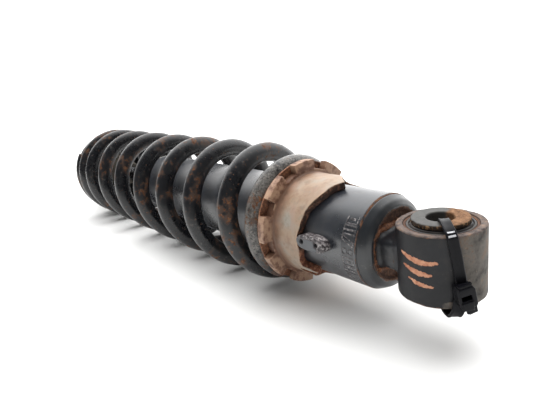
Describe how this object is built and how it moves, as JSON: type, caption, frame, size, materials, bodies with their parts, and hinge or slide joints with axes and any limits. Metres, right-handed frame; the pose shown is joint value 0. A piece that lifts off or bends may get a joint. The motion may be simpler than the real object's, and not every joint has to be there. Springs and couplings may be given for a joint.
{
  "type": "rear shock absorber",
  "caption": "Coil-over rear shock absorber: damper body with a stepped preload cam ring, progressive coil spring, and a rubber-bushed cross-bore eye at each end.",
  "frame": {"origin": "centre of the bolt bore in the damper body's eye", "axes": "+Z along that eye's bore, +X along the shock from the rod end towards the body eye, so the spring and rod lie towards -X; +Y completes the set"},
  "size_m": [0.476, 0.086, 0.086],
  "materials": {
    "black_enamel": "worn gloss black stove enamel with rust at edges",
    "rusty_steel": "bare weld and edge, rusted",
    "zinc_steel": "zinc-plated steel, dull and partly rusted",
    "spring_black": "satin black powder coat, scuffed grey, rust flecks",
    "cam_ring_plate": "yellow-zinc plate faded to peach, rusty at the cut edges",
    "bush_rubber": "matt black rubber",
    "seal_rubber": "semi-matt nitrile rubber",
    "bump_foam": "closed-cell bump-stop foam",
    "nylon": "off-white nylon",
    "ptfe_band": "bronze-filled bearing tape",
    "bronze": "sintered bronze",
    "bare_aluminium": "turned aluminium",
    "spring_steel": "polished spring steel",
    "hard_chrome": "ground hard chrome"
  },
  "bodies": {
    "body_eye_core": {"body_eye_inner_tube": "zinc_steel", "body_eye_collars": "zinc_steel"},
    "damper_body": {"body_eye_housing": "black_enamel", "body_eye_neck": "black_enamel", "neck_weld": "rusty_steel", "body_eye_bush_sleeve": "rusty_steel", "body_eye_bush_rubber": "bush_rubber", "body_eye_dust_seals": "seal_rubber", "end_cap": "black_enamel", "damper_tube": "black_enamel", "seam_weld": "rusty_steel", "cam_lug_drilled": "black_enamel", "cam_lug_plain": "black_enamel", "coil_spring": "spring_black", "seal_head": "bare_aluminium", "rod_guide_bush": "bronze", "rod_oil_seal": "seal_rubber", "seal_head_oring": "seal_rubber", "seal_circlip": "spring_steel", "head_dust_cap": "zinc_steel", "rod_wiper": "seal_rubber", "topout_bumper": "bush_rubber"},
    "preload_carrier": {"spring_slip_washer": "cam_ring_plate"},
    "preload_ring": {"preload_cam_ring": "cam_ring_plate"},
    "gas_piston": {"floating_piston": "bare_aluminium", "floating_piston_oring": "seal_rubber"},
    "rod_assembly": {"damper_rod": "hard_chrome", "damper_piston": "bare_aluminium", "piston_band": "ptfe_band", "compression_shims": "spring_steel", "rebound_shims": "spring_steel", "shim_washer_rod_side": "spring_steel", "piston_nut": "zinc_steel", "spring_retainer": "black_enamel", "rod_lock_nut": "zinc_steel", "bump_stop_cup": "zinc_steel", "bump_stop": "bump_foam", "rod_eye_housing": "black_enamel", "rod_eye_bush_sleeve": "rusty_steel", "rod_eye_bush_rubber": "bush_rubber", "rod_eye_dust_seals": "seal_rubber"},
    "rod_eye_core": {"rod_eye_inner_tube": "zinc_steel", "rod_eye_collars": "zinc_steel"}
  },
  "joints": [
    {"name": "body_eye_pivot", "type": "hinge", "parent": "body_eye_core", "child": "damper_body", "pos_m": [0, 0, 0], "axis": [0, 0, 1], "range_deg": [-15, 15], "stiffness_Nm_per_rad": 12},
    {"name": "damper_stroke", "type": "slide", "parent": "damper_body", "child": "rod_assembly", "axis": [1, 0, 0], "range_m": [0, 0.08], "stiffness_N_per_m": 55000, "springref_m": -0.012, "deforming": ["coil_spring"]},
    {"name": "preload_turn", "type": "hinge", "parent": "preload_carrier", "child": "preload_ring", "pos_m": [0, 0, 0], "axis": [1, 0, 0], "range_deg": [0, 66.1]},
    {"name": "preload_lift", "type": "slide", "parent": "damper_body", "child": "preload_carrier", "axis": [-1, 0, 0], "range_m": [0, 0.0102], "deforming": ["coil_spring"]},
    {"name": "gas_piston_slide", "type": "slide", "parent": "damper_body", "child": "gas_piston", "axis": [1, 0, 0], "range_m": [0, 0.0082]},
    {"name": "rod_eye_pivot", "type": "hinge", "parent": "rod_assembly", "child": "rod_eye_core", "pos_m": [-0.438, 0, 0], "axis": [0, 0, 1], "range_deg": [-15, 15], "stiffness_Nm_per_rad": 12}
  ],
  "couplings": [
    {"joint": "preload_turn", "follows": "preload_lift", "rad_per_m": 112.93},
    {"joint": "gas_piston_slide", "follows": "damper_stroke", "ratio": 0.10124}
  ]
}
